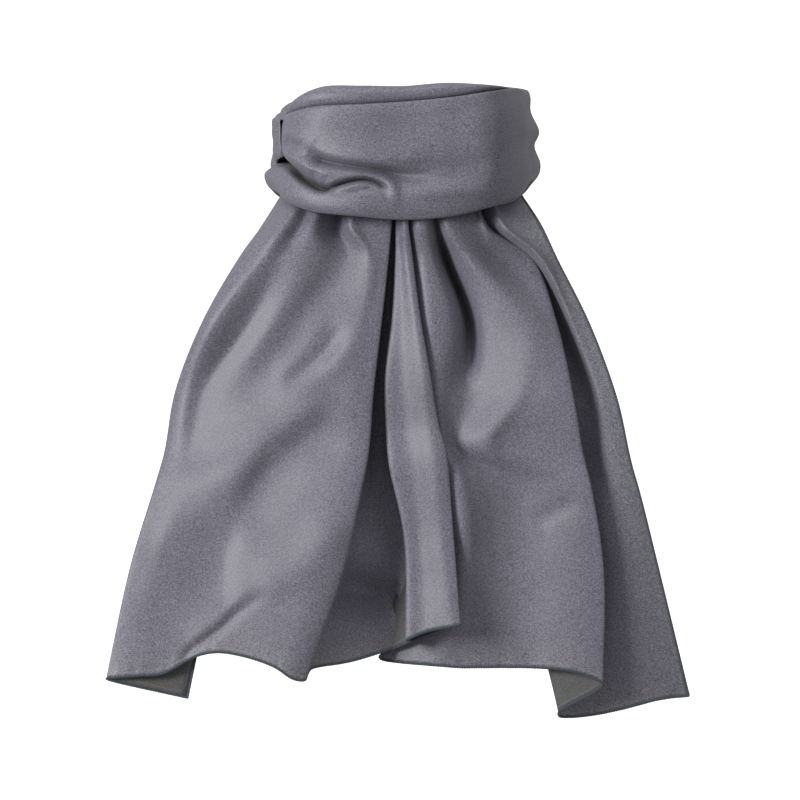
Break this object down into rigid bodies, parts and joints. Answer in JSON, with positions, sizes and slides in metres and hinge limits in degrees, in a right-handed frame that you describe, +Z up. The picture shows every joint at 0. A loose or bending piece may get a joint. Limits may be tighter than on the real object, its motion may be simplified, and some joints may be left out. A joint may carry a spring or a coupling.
{
  "type": "evening stole",
  "caption": "Plain grey satin stole wound loosely round the neck, its free end fanned in soft pleats over the chest and edged with a narrow overlocked hem.",
  "frame": {"origin": "on the axis of the neck that wears the stole, about halfway up the neck loop", "axes": "+Z up along the neck; -Y is the front of the stole; +X is to the right of someone who faces it"},
  "size_m": [0.3434, 0.2005, 0.3838],
  "materials": {
    "cloth": "grey lilac satin weave with a soft sheen",
    "hem_thread": "matte slate blue overlock thread"
  },
  "bodies": {
    "root": {"fall": "cloth", "front_wrap": "cloth", "neck_turn": "cloth", "end_hem": "hem_thread", "left_side_hem": "hem_thread", "right_side_hem": "hem_thread"}
  },
  "joints": []
}
